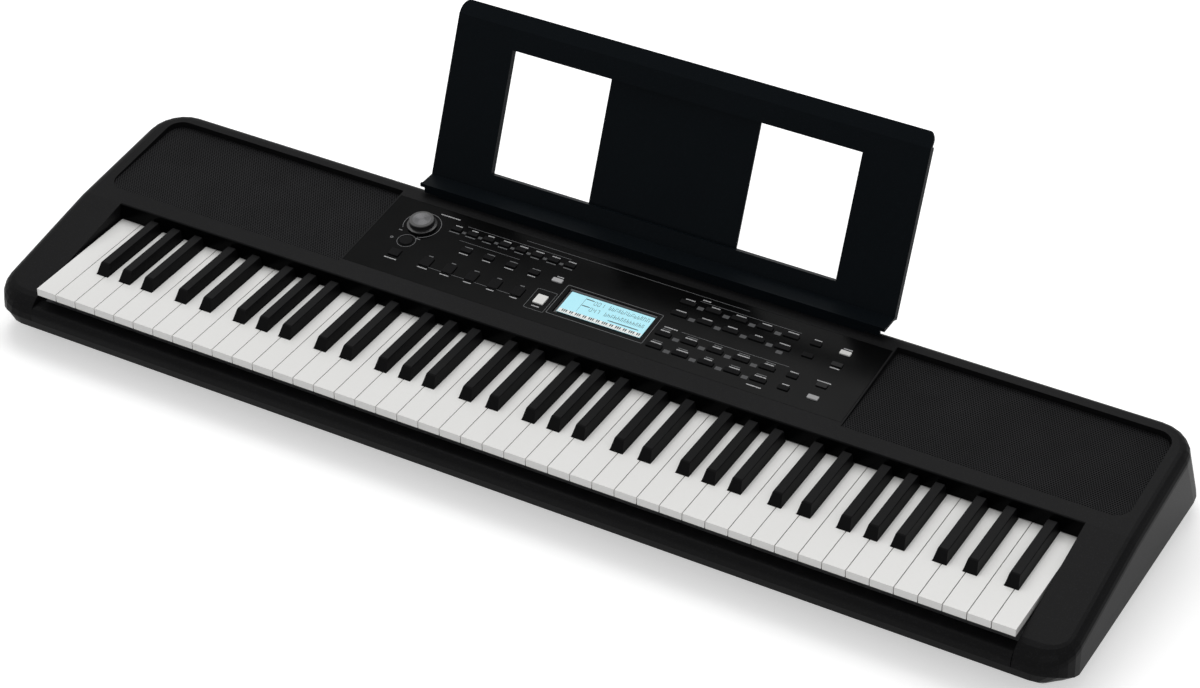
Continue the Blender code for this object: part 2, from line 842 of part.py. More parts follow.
def make_boards(material):
    half_width = panel_half_width - board_side_room
    outline = rounded_rectangle(
        (-half_width, panel_front), (half_width, panel_back), (0, 0, 0, 0)
    )
    board = prism("panel_board", outline, -board_drop - board_thickness, -board_drop, 2)
    finish(on_deck(board), "panel_board", material, smooth=False)

    low = (main_board_left, main_board_front, board_level - board_thickness)
    board = box("main_board", low, (main_board_right, main_board_back, board_level))
    chips = []
    for x, y, half, height in board_chips:
        chips.append(((x - half, y - half, board_level - 0.5 * board_thickness), (x + half, y + half, board_level + height)))
    join(board, boxes("chips", chips))
    finish(board, "main_board", material, smooth=False)

    bottom = chassis_top + contact_rib_height + piece_gap
    low = (-chassis_half_width, contact_front, bottom)
    board = box("contact_board", low, (chassis_half_width, contact_front + contact_depth, bottom + board_thickness))
    finish(board, "contact_board", material, smooth=False)


def make_key_chassis(material):
    top = chassis_top
    rail_front = chassis_back - chassis_rail_margin - pivot_rail_depth
    rail_back = chassis_back - chassis_rail_margin
    rail_top = -white_thickness - piece_gap
    profile = [(chassis_front, top - chassis_thickness), (chassis_back, top - chassis_thickness), (chassis_back, top)]
    profile += [(rail_back, top), (rail_back, rail_top), (rail_front, rail_top), (rail_front, top)]
    for start in (contact_front + contact_depth - contact_rib_width, contact_front):
        profile += [
            (start + contact_rib_width, top),
            (start + contact_rib_width, top + contact_rib_height),
            (start, top + contact_rib_height),
            (start, top),
        ]
    profile.append((chassis_front, top))
    chassis = prism("key_chassis", profile, -chassis_half_width, chassis_half_width, 0)
    return finish(chassis, "key_chassis", material, smooth=False)


def make_jack(name, x, material):
    """A 6.3 mm socket: a block against the bay's wall with its threaded bush through it."""
    front = bay_wall - case_wall - piece_gap
    low = (x - jack_half_width, front - jack_length, jack_height - jack_half_height)
    jack = box(name, low, (x + jack_half_width, front, jack_height + jack_half_height))
    join(jack, prism("bush", circle(jack_bush_radius, (x, jack_height), 16), front - jack_length / 2, bay_wall - piece_gap, 1))
    bore_end = front - jack_length + case_wall
    cut(jack, prism("bore", circle(jack_bore_radius, (x, jack_height), 16), bore_end, beyond + bay_wall, 1))
    return finish(jack, name, material)


def make_block_socket(name, x, half_width, length, cavity, material):
    """A box-shaped socket through the bay's wall, with its cavity and the contact that stands in it."""
    front = bay_wall - piece_gap
    half_height = socket_half_height
    low = (x - half_width, front - length, jack_height - half_height)
    socket = box(name, low, (x + half_width, front, jack_height + half_height))
    back = front - length + case_wall
    cut(socket, prism("cavity", cavity, back, beyond + front, 1))
    contact = circle(contact_radius, (x, jack_height), 8)
    join(socket, prism("contact", contact, back - 0.5 * case_wall, front - contact_setback, 1))
    return finish(socket, name, material)


def make_sockets(material):
    make_jack("headphone_jack", headphone_x, material)
    make_jack("pedal_jack", pedal_x, material)
    low = (usb_x - usb_cavity[0], jack_height - usb_cavity[1])
    high = (usb_x + usb_cavity[0], jack_height + usb_cavity[1])
    outline = rounded_rectangle(low, high, (0, 0, 0, 0))
    make_block_socket("usb_socket", usb_x, usb_half_width, usb_length, outline, material)
    outline = circle(dc_bore_radius, (dc_x, jack_height), 16)
    make_block_socket("dc_inlet", dc_x, dc_half_width, dc_length, outline, material)


def make_feet(material):
    top = tub_floor - piece_gap
    for place, (x, y) in foot_places.items():
        foot = turned("foot", [
            (0, top),
            (foot_radius, top),
            (foot_radius, top - foot_height + foot_edge),
            (foot_radius - foot_edge, top - foot_height),
            (0, top - foot_height),
        ], 24)
        foot.data.transform(Matrix.Translation((x, y, 0.0)))
        finish(foot, "foot_" + place, material, (x, y, top))


def rest_point(s, t=0.0):
    """Y and Z of a point s up the rest's sheet from the shelf and t behind its front face."""
    y = rest_foot_front + s * math.sin(rest_lean) + t * math.cos(rest_lean)
    z = shelf_height + s * math.cos(rest_lean) - t * math.sin(rest_lean)
    return y, z


def on_rest(made):
    """From X, the depth behind the sheet's face and the height up the sheet to the keys' frame."""
    move = Matrix.Translation((0.0, rest_foot_front, shelf_height))
    made.data.transform(move @ Matrix.Rotation(-rest_lean, 4, "X"))
    return made


def rest_lip_end(t=0.0):
    angle = rest_lean + rest_lip_bend
    y, z = rest_point(rest_fold_height)
    y += rest_lip_length * math.sin(angle) + t * math.cos(angle)
    z += rest_lip_length * math.cos(angle) - t * math.sin(angle)
    return y, z


def rest_slab(name, low, high, start, end, radii=(0, 0, 0, 0)):
    """A slab in the sheet's own plane, between two depths behind its front face."""
    return on_rest(prism(name, rounded_rectangle(low, high, radii), start, end, 1))


def make_music_rest(material):
    skin = rest_skin
    width = rest_half_width
    foot = -shelf_thickness / math.cos(rest_lean)
    radius = rest_corner_radius
    sheet = rest_slab("music_rest", (-width, foot), (width, rest_fold_height), 0.0, rest_depth)
    back_low = (-width + skin, foot + 2 * skin)
    back_high = (width - skin, rest_fold_height - skin)
    pocket = rest_slab("pocket", back_low, back_high, skin, rest_depth + skin)
    frame_low = (-rest_window_outer - skin, rest_window_low - skin)
    frame_high = (rest_window_outer + skin, rest_window_high + skin)
    cut(pocket, rest_slab("frame", frame_low, frame_high, 0.0, rest_depth + 2 * skin))
    cut(sheet, pocket)
    recess_low = (-rest_window_outer, rest_window_low)
    recess_high = (rest_window_outer, rest_window_high)
    cut(sheet, rest_slab("recess", recess_low, recess_high, -skin, rest_depth - skin))
    for side in (-1, 1):
        ends = sorted((side * rest_window_inner, side * rest_window_outer))
        window = rest_slab("window", (ends[0], rest_window_low), (ends[1], rest_window_high), -skin, rest_depth + skin)
        cut(sheet, window)

    # The lip above the fold, then the shelf and the tab that stands in the case's slot
    fold = rest_point(rest_fold_height - skin)
    fold_back = rest_point(rest_fold_height - skin, skin)
    lip = [fold, rest_point(rest_fold_height), rest_lip_end(), rest_lip_end(skin), fold_back]
    join(sheet, prism("lip", lip, -width, width, 0))
    under = shelf_height - shelf_thickness
    inside = rest_point(0.0, 0.5 * rest_depth)[0]
    shelf = [
        (shelf_front, under),
        (shelf_front, shelf_height + lip_rise),
        (shelf_front + shelf_thickness, shelf_height + lip_rise),
        (shelf_front + shelf_thickness, shelf_height),
        (inside, shelf_height),
        (inside, under),
    ]
    join(sheet, prism("shelf", shelf, -width, width, 0))
    front = deck_height(shelf_front + shelf_thickness) + piece_gap + rest_front_clearance
    low = (-rest_front_half_width, shelf_front, front)
    high = (rest_front_half_width, shelf_front + shelf_thickness, shelf_height)
    join(sheet, box("front", low, high))
    low = (-tab_half_width, shelf_front, tab_bottom)
    high = (tab_half_width, shelf_front + shelf_thickness, shelf_height)
    join(sheet, box("tab", low, high))

    # Round corners, cut with the waste outside a rounded outline
    end = rest_lip_end()
    reach = rest_fold_height + rest_lip_length
    for side in (-1, 1):
        corner = (side * width, reach)
        join_low = (corner[0] - radius, reach - radius)
        waste = rest_slab("waste", join_low, (corner[0] + radius, reach + radius), -0.02, 0.05)
        disc = on_rest(prism("disc", circle(radius, (side * (width - radius), reach - radius), 24), -0.04, 0.07, 1))
        cut(waste, disc)
        keep = sorted((side * (width - radius), side * (width - 3 * radius)))
        cut(waste, rest_slab("keep", (keep[0], reach - 2 * radius), (keep[1], reach + 2 * radius), -0.04, 0.07))
        cut(sheet, waste)
    return finish(sheet, "music_rest", material)


def white_span(index):
    """Left and right edge of a white key's head."""
    left = (index - 0.5 * white_count) * key_pitch
    return left + 0.5 * key_gap, left + key_pitch - 0.5 * key_gap


def note_name(index):
    return note_names[(index + first_note) % 7]


def black_middle(index):
    """Middle of the black key behind white key number index, or None where there is none."""
    name = note_name(index)
    if name not in black_offsets or index == white_count - 1:
        return None
    return (index + 1 - 0.5 * white_count) * key_pitch + black_offsets[name]


def white_body(shape, index):
    """Head and neck of a white key, hollow below."""
    left, right = white_span(index)
    reach = 0.5 * black_foot_width + black_slot_side_gap
    neck_left, neck_right = left, right
    if index > 0 and black_middle(index - 1) is not None:
        neck_left = black_middle(index - 1) + reach
    if black_middle(index) is not None:
        neck_right = black_middle(index) - reach
    outline = [(left, 0.0), (right, 0.0), (right, white_head_length)]
    if neck_right != right:
        outline.append((neck_right, white_head_length))
    outline += [(neck_right, neck_end), (neck_left, neck_end)]
    if neck_left != left:
        outline.append((neck_left, white_head_length))
    outline.append((left, white_head_length))
    add_prism(shape, outline, -white_thickness, 0.0, 2)
    shape.faces.ensure_lookup_table()
    bottom = min(shape.faces[-len(outline) - 2:], key=lambda face: face.calc_center_median().z)
    bmesh.ops.inset_region(shape, faces=[bottom], thickness=key_wall, use_even_offset=True)
    depth = key_wall - white_thickness
    bmesh.ops.inset_region(shape, faces=[bottom], thickness=key_draft, depth=depth, use_even_offset=True)


def key_tail(shape, middle, half, start):
    add_box(shape, (middle - half, start, -white_thickness), (middle + half, tail_end, -tail_drop))


def black_body(shape, middle):
    """A black key's raised part, as a stack of rectangles that draw in towards the top."""
    foot = white_head_length + black_setback
    levels = (
        (black_bottom, black_foot_width, foot, neck_end - key_wall - black_slot_side_gap),
        (0.0, black_foot_width, foot, black_visible_end),
        (black_height - black_edge, black_top_width + black_edge, foot + black_front_slope - black_edge, black_visible_end),
        (black_height, black_top_width, foot + black_front_slope + black_edge, black_visible_end),
    )
    rings = []
    for height, width, front, back in levels:
        half = 0.5 * width
        corners = ((-half, front), (half, front), (half, back), (-half, back))
        rings.append([shape.verts.new((middle + x, y, height)) for x, y in corners])
    faces = [shape.faces.new(rings[0][::-1]), shape.faces.new(rings[-1])]
    for lower, upper in zip(rings, rings[1:]):
        for i in range(4):
            j = (i + 1) % 4
            faces.append(shape.faces.new((lower[i], lower[j], upper[j], upper[i])))
    bmesh.ops.recalc_face_normals(shape, faces=faces)


def key_groups():
    """White keys of each octave, from C to B, with the part octaves at both ends."""
    groups = []
    for index in range(white_count):
        if index == 0 or note_name(index) == "C":
            groups.append([])
        groups[-1].append(index)
    return groups


def make_key_set(name, kind, middles, add_body, material):
    """One moulded set: keys, tails, and the comb bar that joins the tails."""
    bodies = bmesh.new()
    tails = bmesh.new()
    posts = []
    start = comb_bar_starts[kind]
    end = start + comb_bar_size
    half = 0.5 * (black_tail_width if kind == "black" else tail_width)
    tail_start = (black_visible_end if kind == "black" else neck_end) - key_wall
    post_foot = -comb_bar_drop - 0.5 * comb_bar_thickness
    for item, middle in middles:
        add_body(bodies, item)
        key_tail(tails, middle, half, tail_start)
        posts.append(((middle - half, start, post_foot), (middle + half, end, key_wall - white_thickness)))
    keys = object_of(name, bodies)
    join(keys, object_of("tails", tails))
    join(keys, boxes("posts", posts))
    low = (middles[0][1] - half, start, -comb_bar_drop - comb_bar_thickness)
    join(keys, box("bar", low, (middles[-1][1] + half, end, -comb_bar_drop)))
    pivot = (0.5 * (middles[0][1] + middles[-1][1]), pivot_back, -pivot_drop)
    return finish(keys, name, material, pivot, smooth=False)


def make_keys(white_material, black_material):
    for number, group in enumerate(key_groups(), 1):
        for kind, notes in (("cegb", "CEGB"), ("dfa", "DFA")):
            middles = [(i, sum(white_span(i)) / 2) for i in group if note_name(i) in notes]
            make_key_set(f"white_keys_{kind}_{number}", kind, middles, white_body, white_material)
        middles = []
        for i in group:
            if black_middle(i) is not None:
                middles.append((black_middle(i), (i + 1 - 0.5 * white_count) * key_pitch))
        make_key_set(f"black_keys_{number}", "black", middles, black_body, black_material)


clear_scene()
keyboard = bpy.data.objects.new("keyboard", None)
bpy.context.scene.collection.objects.link(keyboard)
keyboard.location = (0.0, -0.5 * (case_front + rest_lip_end(rest_skin)[0]), key_height)

case_black = make_material("case_black", (0.020, 0.020, 0.021), 0.50)
gloss_black = make_material("gloss_black", (0.006, 0.006, 0.007), 0.08)
grille_black = make_material("grille_black", (0.018, 0.018, 0.019), 0.65)
key_white = make_material("key_white", (0.87, 0.87, 0.86), 0.25)
key_black = make_material("key_black", (0.012, 0.012, 0.012), 0.45)
button_black = make_material("button_black", (0.030, 0.031, 0.032), 0.50)
button_white = make_material("button_white", (0.80, 0.80, 0.79), 0.40)
rest_black = make_material("rest_black", (0.018, 0.018, 0.020), 0.45)
display_clear = make_material("display_clear", (0.30, 0.62, 0.70), 0.10)
part_grey = make_material("part_grey", (0.10, 0.10, 0.11), 0.50)
board_green = make_material("board_green", (0.02, 0.14, 0.06), 0.50)
foot_rubber = make_material("foot_rubber", (0.015, 0.015, 0.015), 0.85)

make_lower_case(case_black)
make_upper_case(case_black)
make_key_slip(case_black)
make_fallboard(gloss_black)
make_control_panel(gloss_black)
make_display(display_clear, part_grey)
make_buttons({"plain": button_black, "start_button": button_white, "tempo_button": button_white})
make_power_button(button_black)
make_volume_control(button_black, part_grey)
for hand, side_name in ((-1, "left"), (1, "right")):
    make_grille(hand, "speaker_grille_" + side_name, grille_black)
    make_speaker(hand, "speaker_" + side_name, part_grey)
make_boards(board_green)
make_key_chassis(part_grey)
make_sockets(part_grey)
make_battery_door(case_black)
make_feet(foot_rubber)
make_music_rest(rest_black)
make_keys(key_white, key_black)
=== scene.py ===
import bpy
import json
import math
import random
from mathutils import Matrix, Vector

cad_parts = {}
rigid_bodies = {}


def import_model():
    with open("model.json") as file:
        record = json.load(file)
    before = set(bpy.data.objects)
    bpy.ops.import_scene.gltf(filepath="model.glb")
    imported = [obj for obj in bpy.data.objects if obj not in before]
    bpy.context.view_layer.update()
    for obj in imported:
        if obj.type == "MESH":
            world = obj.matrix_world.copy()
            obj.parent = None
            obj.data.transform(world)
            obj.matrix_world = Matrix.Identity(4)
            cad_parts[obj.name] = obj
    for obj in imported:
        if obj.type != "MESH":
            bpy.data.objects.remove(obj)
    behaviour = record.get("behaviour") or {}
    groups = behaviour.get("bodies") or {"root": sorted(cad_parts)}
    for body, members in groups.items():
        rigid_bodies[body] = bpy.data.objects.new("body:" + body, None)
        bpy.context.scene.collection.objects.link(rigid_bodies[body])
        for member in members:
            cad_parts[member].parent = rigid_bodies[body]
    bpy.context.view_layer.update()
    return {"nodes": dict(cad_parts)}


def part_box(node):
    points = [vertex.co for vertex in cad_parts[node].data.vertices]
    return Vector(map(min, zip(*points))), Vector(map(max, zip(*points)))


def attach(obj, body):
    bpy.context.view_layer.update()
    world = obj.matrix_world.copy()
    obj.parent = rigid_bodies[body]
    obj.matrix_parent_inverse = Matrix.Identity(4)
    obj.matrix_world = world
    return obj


for leftover in list(bpy.data.objects):
    bpy.data.objects.remove(leftover)
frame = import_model()
nodes = frame["nodes"]
mm = 0.001
print("frame loaded:", len(nodes), "nodes")

# camera at the photograph's angle
cameraSettings = {
    "place": (1.26665, -2.24051, 1.9235),
    "pitchDown": 35.83,
    "heading": 29.33,
    "lens": 97.94,
    "sensor": 36.0,
    "near": 0.05,
    "far": 60.0,
}
cameraData = bpy.data.cameras.new("photoCamera")
camera = bpy.data.objects.new("photoCamera", cameraData)
bpy.context.scene.collection.objects.link(camera)
camera.location = cameraSettings["place"]
camera.rotation_euler = (
    math.radians(90.0 - cameraSettings["pitchDown"]),
    0.0,
    math.radians(cameraSettings["heading"]),
)
cameraData.sensor_fit = "HORIZONTAL"
cameraData.sensor_width = cameraSettings["sensor"]
cameraData.lens = cameraSettings["lens"]
cameraData.clip_start = cameraSettings["near"]
cameraData.clip_end = cameraSettings["far"]
bpy.context.scene.camera = camera


# a socket of a shader tree, with the arithmetic that the finishes use
class Field:
    def __init__(self, tree, socket=None):
        self.tree = tree
        self.socket = socket

    def node(self, kind, settings=None, values=None, output=0):
        made = self.tree.nodes.new(kind)
        for key, value in (settings or {}).items():
            setattr(made, key, value)
        for key, value in (values or {}).items():
            self.feed(made.inputs[key], value)
        return Field(self.tree, made.outputs[output])

    def feed(self, target, value):
        if isinstance(value, Field):
            self.tree.links.new(value.socket, target)
        else:
            target.default_value = value

    def maths(self, operation, first, second=0.0):
        return self.node("ShaderNodeMath", {"operation": operation}, {0: first, 1: second})

    def __add__(self, other):
        return self.maths("ADD", self, other)

    def __sub__(self, other):
        return self.maths("SUBTRACT", self, other)

    def __rsub__(self, other):
        return self.maths("SUBTRACT", other, self)

    def __mul__(self, other):
        return self.maths("MULTIPLY", self, other)

    def __truediv__(self, other):
        return self.maths("DIVIDE", self, other)

    def __gt__(self, other):
        return self.maths("GREATER_THAN", self, other)

    def __lt__(self, other):
        return self.maths("LESS_THAN", self, other)

    __radd__ = __add__
    __rmul__ = __mul__


def newFinish(name, fixed):
    finish = bpy.data.materials.new(name)
    finish.use_nodes = True
    shader = finish.node_tree.nodes["Principled BSDF"]
    for key, value in fixed.items():
        shader.inputs[key].default_value = value
    field = Field(finish.node_tree)
    place = field.node("ShaderNodeTexCoord", output="Object")
    return finish, shader, field, place


def opaque(colour):
    return (*colour, 1.0) if isinstance(colour, tuple) else colour


def mixed(field, share, first, second):
    values = {0: share, 6: opaque(first), 7: opaque(second)}
    return field.node("ShaderNodeMix", {"data_type": "RGBA"}, values, output=2)


def noise(field, place, scale, detail=2.0, roughness=0.5):
    values = {"Vector": place, "Scale": scale, "Detail": detail, "Roughness": roughness}
    return field.node("ShaderNodeTexNoise", values=values)


def bumped(field, shader, height, strength, distance):
    values = {"Height": height, "Strength": strength, "Distance": distance}
    field.feed(shader.inputs["Normal"], field.node("ShaderNodeBump", values=values))


def axisOf(field, place, axis):
    return field.node("ShaderNodeSeparateXYZ", values={0: place}, output=axis)


# moulded plastic: a fine grain from the tool, faint clouding and scattered rubbed spots
def mouldedFinish(name, look):
    fixed = {"Specular IOR Level": look["shine"], "IOR": look["index"]}
    finish, shader, field, place = newFinish(name, fixed)
    grain = noise(field, place, look["grainScale"], look["grainDetail"], look["grainRoughness"])
    cloud = noise(field, place, look["cloudScale"])
    speck = noise(field, place, look["grainScale"] * look["speckScale"], 1.0)
    colour = mixed(field, cloud, look["dark"], look["light"])
    colour = mixed(field, (speck > look["speckFrom"]) * look["speck"], colour, look["speckColour"])
    field.feed(shader.inputs["Base Color"], colour)
    field.feed(shader.inputs["Roughness"], look["roughness"] + (grain - 0.5) * look["roughnessSpread"])
    bumped(field, shader, grain, look["relief"], look["reliefDepth"])
    return finish


caseLook = {
    "dark": (0.0042, 0.0042, 0.0045),
    "light": (0.0065, 0.0065, 0.0069),
    "speck": 0.5,
    "speckColour": (0.014, 0.014, 0.0148),
    "speckScale": 0.55,
    "speckFrom": 0.62,
    "index": 1.5,
    "shine": 0.045,
    "roughness": 0.40,
    "roughnessSpread": 0.16,
    "grainScale": 1500.0,
    "grainDetail": 3.0,
    "grainRoughness": 0.6,
    "cloudScale": 9.0,
    "relief": 0.35,
    "reliefDepth": 0.12 * mm,
}
restLook = {
    **caseLook,
    "dark": (0.0022, 0.0034, 0.0046),
    "light": (0.0034, 0.0050, 0.0064),
    "speckColour": (0.007, 0.009, 0.012),
    "shine": 0.030,
    "roughness": 0.42,
    "grainScale": 1900.0,
    "relief": 0.20,
}
buttonLook = {
    **caseLook,
    "dark": (0.0045, 0.0045, 0.0048),
    "light": (0.0070, 0.0070, 0.0074),
    "roughness": 0.55,
    "grainScale": 2600.0,
    "cloudScale": 40.0,
    "shine": 0.030,
    "relief": 0.2,
}
keyBlackLook = {
    **caseLook,
    "dark": (0.0020, 0.0020, 0.0022),
    "light": (0.0035, 0.0035, 0.0038),
    "speckColour": (0.006, 0.006, 0.0065),
    "roughness": 0.38,
    "shine": 0.050,
    "grainScale": 2200.0,
    "cloudScale": 14.0,
    "relief": 0.16,
}
keyWhiteLook = {
    **caseLook,
    "dark": (0.800, 0.797, 0.780),
    "light": (0.845, 0.842, 0.828),
    "speck": 0.12,
    "speckColour": (0.78, 0.77, 0.74),
    "shine": 0.5,
    "roughness": 0.24,
    "roughnessSpread": 0.06,
    "grainScale": 420.0,
    "cloudScale": 12.0,
    "relief": 0.05,
    "reliefDepth": 0.05 * mm,
}
buttonWhiteLook = {
    **keyWhiteLook,
    "dark": (0.66, 0.66, 0.64),
    "light": (0.73, 0.73, 0.71),
    "roughness": 0.4,
    "grainScale": 1800.0,
}
buttonSilverLook = {
    **buttonWhiteLook,
    "dark": (0.30, 0.30, 0.305),
    "light": (0.40, 0.40, 0.405),
    "speckColour": (0.5, 0.5, 0.5),
}
greyLook = {
    **caseLook,
    "dark": (0.115, 0.116, 0.120),
    "light": (0.155, 0.156, 0.160),
    "speckColour": (0.20, 0.20, 0.21),
    "roughness": 0.5,
    "grainScale": 1400.0,
}
rubberLook = {**caseLook, "roughness": 0.82, "shine": 0.25, "grainScale": 900.0, "relief": 0.5}

# polished plastic of the control panel and the fallboard: dust, smears and a slow waviness
glossLook = {
    "base": (0.0009, 0.0010, 0.0011),
    "dust": (0.006, 0.006, 0.0065),
    "dustScale": 2600.0,
    "dustFrom": 0.70,
    "dustShare": 0.5,
    "index": 1.5,
    "shine": 0.035,
    "roughness": 0.13,
    "smear": 0.10,
    "smearScale": 26.0,
    "waveScale": 60.0,
    "wave": 0.02,
    "waveDepth": 0.2 * mm,
}
fixed = {"Specular IOR Level": glossLook["shine"], "IOR": glossLook["index"]}
glossFinish, shader, field, place = newFinish("polishedPanel", fixed)
dust = noise(field, place, glossLook["dustScale"], 1.0) > glossLook["dustFrom"]
smear = noise(field, place, glossLook["smearScale"], 3.0)
dusty = mixed(field, dust * glossLook["dustShare"], glossLook["base"], glossLook["dust"])
field.feed(shader.inputs["Base Color"], dusty)
field.feed(shader.inputs["Roughness"], glossLook["roughness"] + smear * glossLook["smear"])
wave = noise(field, place, glossLook["waveScale"], 1.0)
bumped(field, shader, wave, glossLook["wave"], glossLook["waveDepth"])

# punched grille: staggered holes filled with near-black painted shade of the hollow behind them, and a
# rounded web between them
grilleLook = {
    "pitch": 2.6 * mm,
    "rowPitch": 0.8660254,
    "hole": 0.36,
    "web": (0.0160, 0.0160, 0.0168),
    "wornWeb": (0.026, 0.026, 0.0275),
    "wearScale": 30.0,
    # near-black painted shade seen through the holes
    "ground": (0.0006, 0.0006, 0.0007),
    "shine": 0.03,
    "roughness": 0.42,
    "holeRoughness": 0.5,
    "webTop": 0.46,
    "relief": 0.8,
    "reliefDepth": 0.9 * mm,
}
grilleFinish, shader, field, place = newFinish("punchedGrille", {"Specular IOR Level": grilleLook["shine"]})
rowPitch = grilleLook["rowPitch"]
across = axisOf(field, place, "X") / grilleLook["pitch"]
along = axisOf(field, place, "Y") / (grilleLook["pitch"] * rowPitch)
stagger = field.maths("PINGPONG", field.maths("FLOOR", along), 1.0) * 0.5
cellAcross = field.maths("FRACT", across + stagger) - 0.5
cellAlong = field.maths("FRACT", along) - 0.5
fromHole = field.maths("SQRT", cellAcross * cellAcross + cellAlong * cellAlong * rowPitch ** 2)
hole = fromHole < grilleLook["hole"]
wear = noise(field, place, grilleLook["wearScale"])
webColour = mixed(field, wear, grilleLook["web"], grilleLook["wornWeb"])
# the holes take the painted shade colour, the web its own worn colour
field.feed(shader.inputs["Base Color"], mixed(field, hole, webColour, grilleLook["ground"]))
field.feed(shader.inputs["Roughness"], grilleLook["roughness"] + hole * grilleLook["holeRoughness"])
web = field.maths("MINIMUM", fromHole, grilleLook["webTop"])
bumped(field, shader, web, grilleLook["relief"], grilleLook["reliefDepth"])

# volume knob: spun metal on top, with fine circles about its middle, over black plastic
knobLook = {
    "plastic": (0.006, 0.006, 0.0065),
    "metal": (0.085, 0.085, 0.088),
    "topRadius": 10.4 * mm,
    "topLevel": 98.6 * mm,
    "circles": 30000.0,
    "roughness": 0.34,
    "polish": 0.06,
    "grainScale": 2500.0,
    "grain": 0.2,
    "relief": 0.45,
    "reliefDepth": 0.04 * mm,
}
knobLow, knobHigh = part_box("volume_knob")
knobMiddle = tuple((knobLow + knobHigh) * 0.5)
knobFinish, shader, field, place = newFinish("spunKnob", {"Specular IOR Level": 0.5})
away = field.node("ShaderNodeVectorMath", {"operation": "SUBTRACT"}, {0: place, 1: knobMiddle})
reach = field.node("ShaderNodeVectorMath", {"operation": "LENGTH"}, {0: away}, output="Value")
onTop = (reach < knobLook["topRadius"]) * (axisOf(field, place, "Z") > knobLook["topLevel"])
circles = field.maths("SINE", reach * knobLook["circles"]) * onTop
field.feed(shader.inputs["Base Color"], mixed(field, onTop, knobLook["plastic"], knobLook["metal"]))
field.feed(shader.inputs["Metallic"], onTop)
field.feed(shader.inputs["Roughness"], knobLook["roughness"] - onTop * knobLook["polish"])
grain = noise(field, place, knobLook["grainScale"]) * knobLook["grain"]
bumped(field, shader, circles + grain, knobLook["relief"], knobLook["reliefDepth"])

# circuit boards: traces under the solder mask
boardLook = {
    "mask": (0.012, 0.075, 0.030),
    "trace": (0.030, 0.150, 0.060),
    "scale": 90.0,
    "gap": 0.03,
    "roughness": 0.35,
    "relief": 0.3,
    "reliefDepth": 0.1 * mm,
}
boardFinish, shader, field, place = newFinish("circuitBoard", {"Roughness": boardLook["roughness"]})
brick = {"Vector": place, "Scale": boardLook["scale"], "Mortar Size": boardLook["gap"]}
traces = field.node("ShaderNodeTexBrick", values=brick, output="Fac")
field.feed(shader.inputs["Base Color"], mixed(field, traces, boardLook["mask"], boardLook["trace"]))
bumped(field, shader, traces, boardLook["relief"], boardLook["reliefDepth"])

# window over the display: near black with faint dust
windowLook = {
    "base": (0.006, 0.007, 0.008),
    "dust": (0.012, 0.013, 0.014),
    "dustScale": 1800.0,
    "dustFrom": 0.68,
    "shine": 0.4,
    "roughness": 0.08,
    "smear": 0.06,
    "smearScale": 40.0,
}
windowFinish, shader, field, place = newFinish("displayWindow", {"Specular IOR Level": windowLook["shine"]})
dust = noise(field, place, windowLook["dustScale"], 1.0) > windowLook["dustFrom"]
smear = noise(field, place, windowLook["smearScale"])
field.feed(shader.inputs["Base Color"], mixed(field, dust, windowLook["base"], windowLook["dust"]))
field.feed(shader.inputs["Roughness"], windowLook["roughness"] + smear * windowLook["smear"])

# the right column of buttons is one piece: its rear cap is white and its front cap silver
modeLook = {
    "shine": 0.12,
    "roughness": 0.5,
    "whiteFrom": 62.0 * mm,
    "silverTo": 5.0 * mm,
    "grainScale": 2400.0,
    "relief": 0.2,
    "reliefDepth": 0.1 * mm,
}
fixed = {"Specular IOR Level": modeLook["shine"], "Roughness": modeLook["roughness"]}
modeFinish, shader, field, place = newFinish("modeButtons", fixed)
depth = axisOf(field, place, "Y")
grain = noise(field, place, modeLook["grainScale"], 3.0)
black = mixed(field, grain, buttonLook["dark"], buttonLook["light"])
white = mixed(field, grain, buttonWhiteLook["dark"], buttonWhiteLook["light"])
silver = mixed(field, grain, buttonSilverLook["dark"], buttonSilverLook["light"])
capColour = mixed(field, depth > modeLook["whiteFrom"], black, white)
capColour = mixed(field, depth < modeLook["silverTo"], capColour, silver)
field.feed(shader.inputs["Base Color"], capColour)
bumped(field, shader, grain, modeLook["relief"], modeLook["reliefDepth"])

finishOfSlot = {
    "case_black": mouldedFinish("satinCase", caseLook),
    "gloss_black": glossFinish,
    "grille_black": grilleFinish,
    "key_white": mouldedFinish("whiteKey", keyWhiteLook),
    "key_black": mouldedFinish("blackKey", keyBlackLook),
    "button_black": mouldedFinish("mattButton", buttonLook),
    "button_white": mouldedFinish("whiteButton", buttonWhiteLook),
    "rest_black": mouldedFinish("satinRest", restLook),
    "display": windowFinish,
    "part_grey": mouldedFinish("greyPart", greyLook),
    "board_green": boardFinish,
    "foot_rubber": mouldedFinish("footRubber", rubberLook),
}
finishOfNode = {
    "volume_knob": knobFinish,
    "tempo_button": mouldedFinish("silverButton", buttonSilverLook),
    "mode_buttons": modeFinish,
}
for name, node in nodes.items():
    finish = finishOfNode.get(name, finishOfSlot[node.data.materials[0].name])
    for holder in node.material_slots:
        holder.link = "OBJECT"
        holder.material = finish
print("finishes on the frame")

# the deck's plane: U to the right, V up the slope from its front edge
deck = {"front": -43.414 * mm, "height": 82.5 * mm, "tilt": math.radians(6.0)}
deckTurn = Matrix.Rotation(deck["tilt"], 4, "X")
deckPlace = Matrix.Translation((0.0, deck["front"], deck["height"])) @ deckTurn


def deselectAll():
    bpy.ops.object.select_all(action="DESELECT")


def thickened(piece, thickness):
    # a flat face in edit mode becomes a closed plate
    bpy.ops.mesh.select_all(action="SELECT")
    bpy.ops.mesh.extrude_region_move(TRANSFORM_OT_translate={"value": (0.0, 0.0, thickness)})
    bpy.ops.mesh.select_all(action="SELECT")
    bpy.ops.mesh.normals_make_consistent(inside=False)
    bpy.ops.object.mode_set(mode="OBJECT")
    return piece


